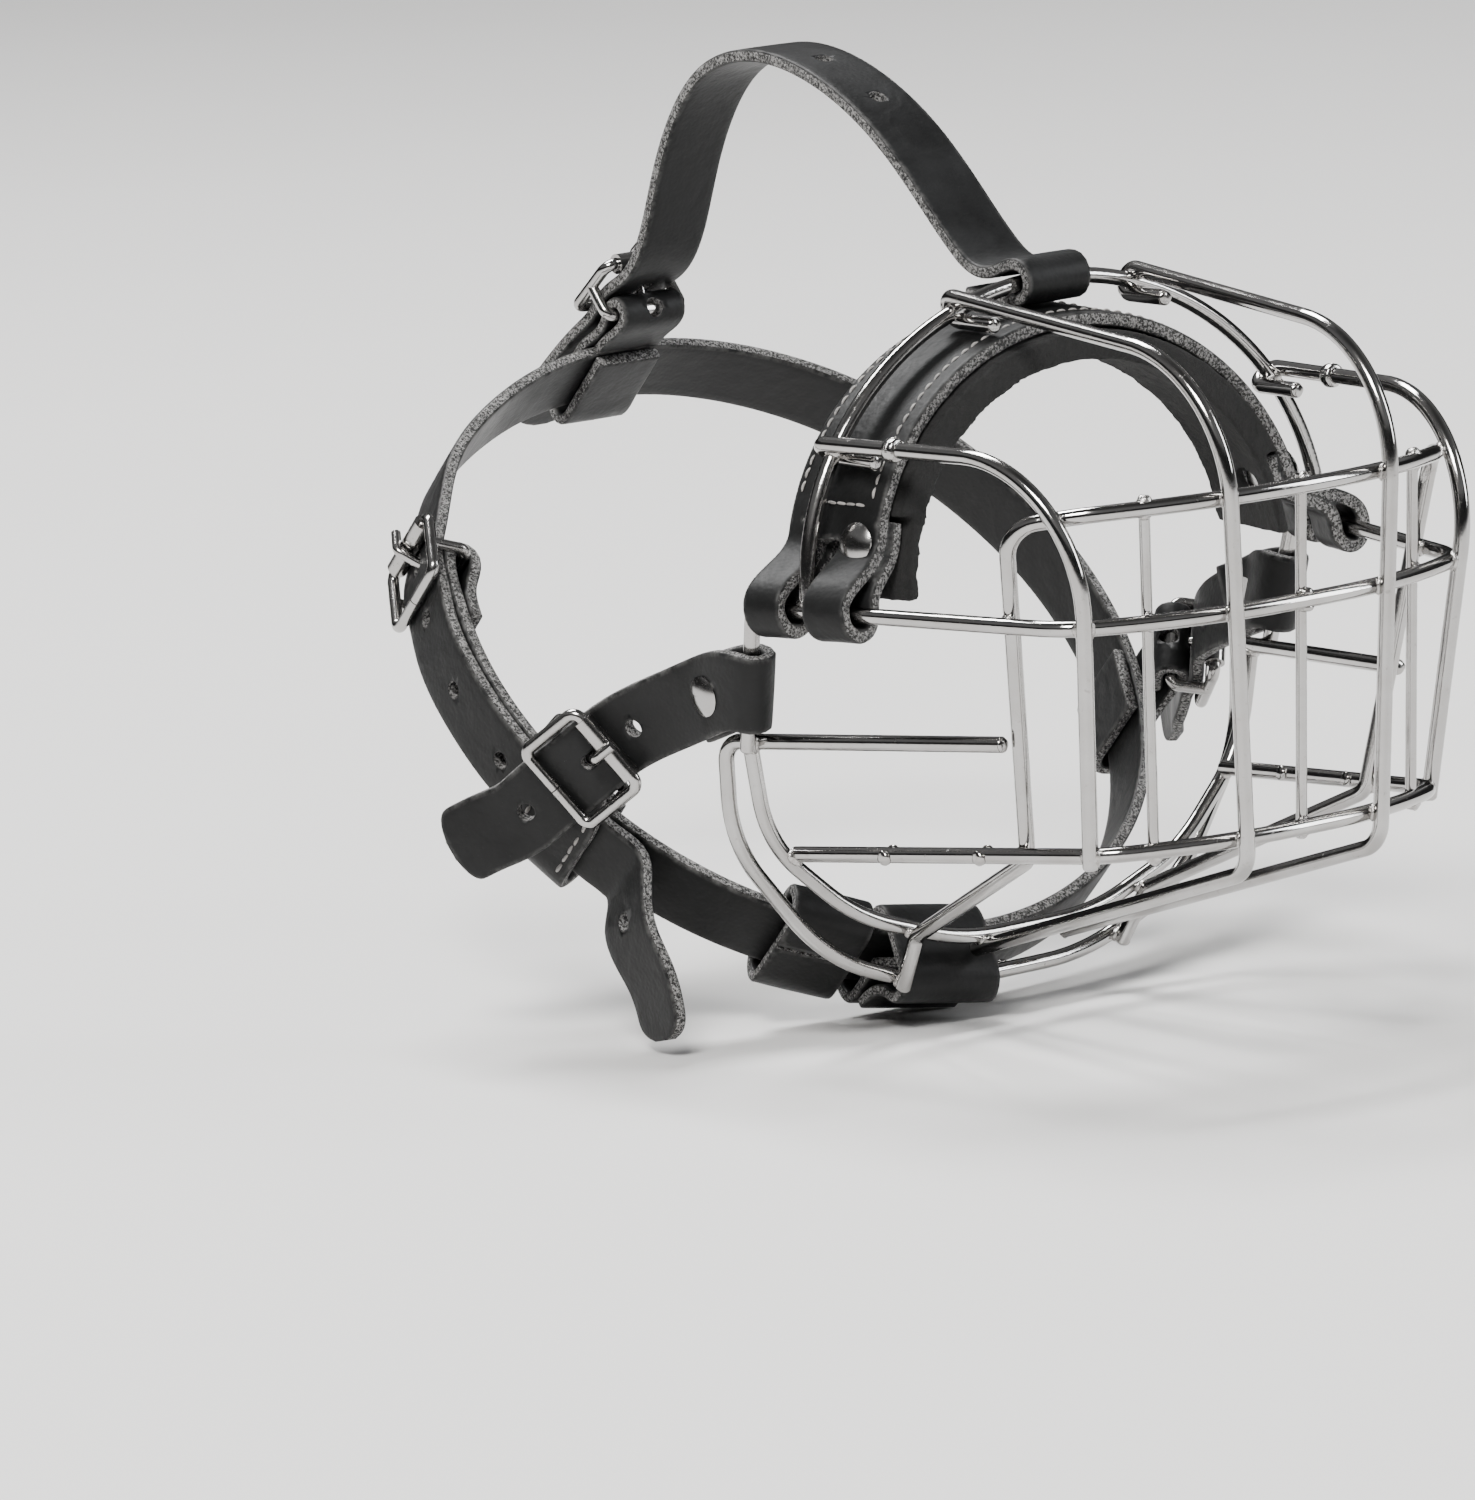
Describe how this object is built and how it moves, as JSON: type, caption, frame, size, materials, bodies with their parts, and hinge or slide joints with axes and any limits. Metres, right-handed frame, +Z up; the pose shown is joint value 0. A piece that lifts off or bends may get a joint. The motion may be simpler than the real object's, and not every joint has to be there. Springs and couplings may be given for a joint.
{
  "type": "basket muzzle",
  "caption": "Chromed wire basket muzzle for a dog, with a felt-lined leather nose band and a buckled black leather harness of cheek, neck and forehead straps.",
  "frame": {"origin": "middle of the opening that the snout enters, level with the middle ring wire", "axes": "+Z up as worn, -Y the way the dog faces, +Y backwards out of the snout opening and along the longest way, X = 0 the mirror plane with the wearer's right at -X"},
  "size_m": [0.1592, 0.2012, 0.1555],
  "materials": {
    "basket_chrome": "bright nickel-chrome plated steel wire",
    "buckle_nickel": "nickel-plated steel roller buckles",
    "rivet_steel": "nickel-plated rivets with domed heads",
    "black_leather": "smooth semi-matte black leather, with grey cut edges",
    "felt_lining": "dense dark felt"
  },
  "bodies": {
    "basket": {"cheek_buckle_left_frame": "buckle_nickel", "cheek_buckle_right_frame": "buckle_nickel", "cheek_rivet_left": "rivet_steel", "cheek_rivet_right": "rivet_steel", "cheek_strap_left": "black_leather", "cheek_strap_right": "black_leather", "cheek_tab_left": "black_leather", "cheek_tab_right": "black_leather", "chin_keeper": "black_leather", "chin_tab": "black_leather", "crown_bar_left": "basket_chrome", "crown_bar_right": "basket_chrome", "crown_buckle_frame": "buckle_nickel", "crown_tab": "black_leather", "forehead_strap": "black_leather", "front_bar_left": "basket_chrome", "front_bar_middle": "basket_chrome", "front_bar_right": "basket_chrome", "front_chin_wire": "basket_chrome", "front_portal_wire": "basket_chrome", "lower_ring_wire": "basket_chrome", "middle_ring_wire": "basket_chrome", "neck_buckle_frame": "buckle_nickel", "neck_strap": "black_leather", "nose_arch_wire": "basket_chrome", "nose_band": "black_leather", "nose_band_lining": "felt_lining", "nose_band_rivets": "rivet_steel", "rear_chin_wire": "basket_chrome", "side_bar_left": "basket_chrome", "side_bar_right": "basket_chrome"},
    "cheek_tongue_right": {"cheek_buckle_right_tongue": "buckle_nickel"},
    "cheek_roller_right": {"cheek_buckle_right_roller": "buckle_nickel"},
    "cheek_end_right": {"cheek_strap_end_right": "black_leather"},
    "cheek_tongue_left": {"cheek_buckle_left_tongue": "buckle_nickel"},
    "cheek_roller_left": {"cheek_buckle_left_roller": "buckle_nickel"},
    "cheek_end_left": {"cheek_strap_end_left": "black_leather"},
    "neck_tongue": {"neck_buckle_tongue": "buckle_nickel"},
    "neck_roller": {"neck_buckle_roller": "buckle_nickel"},
    "neck_end": {"neck_strap_end": "black_leather"},
    "crown_tongue": {"crown_buckle_tongue": "buckle_nickel"},
    "crown_roller": {"crown_buckle_roller": "buckle_nickel"},
    "forehead_end": {"forehead_strap_end": "black_leather"}
  },
  "joints": [
    {"name": "cheek_tongue_right_lift", "type": "hinge", "parent": "basket", "child": "cheek_tongue_right", "pos_m": [-0.06171, 0.04415, -0.02704], "axis": [0.4573, -0.4204, -0.7837], "range_deg": [0, 10]},
    {"name": "cheek_roller_right_spin", "type": "hinge", "parent": "basket", "child": "cheek_roller_right", "pos_m": [-0.06485, 0.03638, -0.02469], "axis": [-0.4573, 0.4204, 0.7837], "continuous": true},
    {"name": "cheek_end_right_flex", "type": "hinge", "parent": "basket", "child": "cheek_end_right", "pos_m": [-0.06897, 0.04971, -0.03425], "axis": [-0.4573, 0.4204, 0.7837], "range_deg": [0, 40], "stiffness_Nm_per_rad": 0.02},
    {"name": "cheek_tongue_left_lift", "type": "hinge", "parent": "basket", "child": "cheek_tongue_left", "pos_m": [0.06171, 0.04415, -0.02704], "axis": [0.4573, 0.4204, 0.7837], "range_deg": [0, 10]},
    {"name": "cheek_roller_left_spin", "type": "hinge", "parent": "basket", "child": "cheek_roller_left", "pos_m": [0.06485, 0.03638, -0.02469], "axis": [-0.4573, -0.4204, -0.7837], "continuous": true},
    {"name": "cheek_end_left_flex", "type": "hinge", "parent": "basket", "child": "cheek_end_left", "pos_m": [0.06897, 0.04971, -0.03425], "axis": [-0.4573, -0.4204, -0.7837], "range_deg": [0, 40], "stiffness_Nm_per_rad": 0.02},
    {"name": "neck_tongue_lift", "type": "hinge", "parent": "basket", "child": "neck_tongue", "pos_m": [-0.05515, 0.08992, -0.00433], "axis": [0, -0.6947, 0.7193], "range_deg": [0, 10]},
    {"name": "neck_roller_spin", "type": "hinge", "parent": "basket", "child": "neck_roller", "pos_m": [-0.05825, 0.09577, 0.00132], "axis": [0, 0.6947, -0.7193], "continuous": true},
    {"name": "neck_end_flex", "type": "hinge", "parent": "basket", "child": "neck_end", "pos_m": [-0.05783, 0.04841, -0.04441], "axis": [0, 0.6947, -0.7193], "range_deg": [0, 40], "stiffness_Nm_per_rad": 0.02},
    {"name": "crown_tongue_lift", "type": "hinge", "parent": "basket", "child": "crown_tongue", "pos_m": [0, 0.10507, 0.03255], "axis": [-1, 0, 0], "range_deg": [0, 10]},
    {"name": "crown_roller_spin", "type": "hinge", "parent": "basket", "child": "crown_roller", "pos_m": [0, 0.10457, 0.04123], "axis": [1, 0, 0], "continuous": true},
    {"name": "forehead_end_flex", "type": "hinge", "parent": "basket", "child": "forehead_end", "pos_m": [0, 0.11581, 0.02928], "axis": [1, 0, 0], "range_deg": [0, 40], "stiffness_Nm_per_rad": 0.02}
  ]
}
